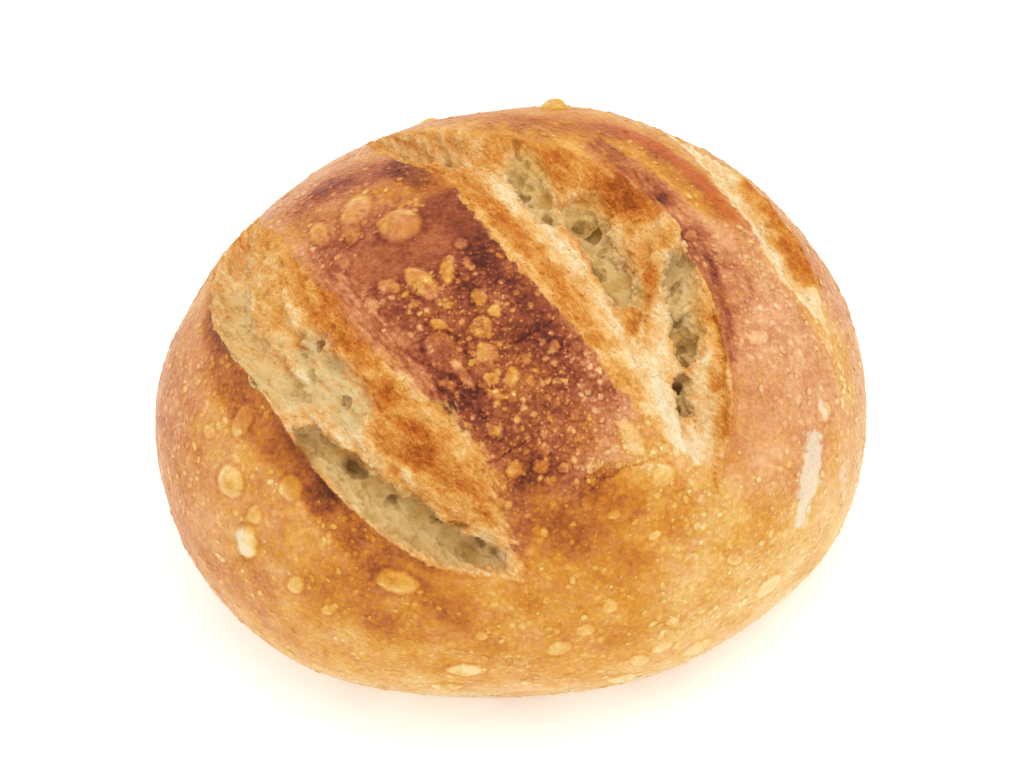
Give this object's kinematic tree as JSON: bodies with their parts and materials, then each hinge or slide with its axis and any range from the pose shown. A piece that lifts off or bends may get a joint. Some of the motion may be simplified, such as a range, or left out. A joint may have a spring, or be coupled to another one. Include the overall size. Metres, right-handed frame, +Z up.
{
  "type": "bread roll",
  "caption": "Round crusty bread roll with a domed top, slashed open in torn bands, a blistered golden to chestnut crust and a flat base",
  "frame": {"origin": "middle of the flat base the roll was baked on, under the middle of its box", "axes": "+Z up from the tray to the crown, +X to the right and +Y away as seen from the front, the longer side along X"},
  "size_m": [0.113, 0.1022, 0.0626],
  "materials": {
    "crust": "golden baked crust, satin, with matte torn crumb"
  },
  "bodies": {
    "root": {"bread_roll": "crust"}
  },
  "joints": []
}
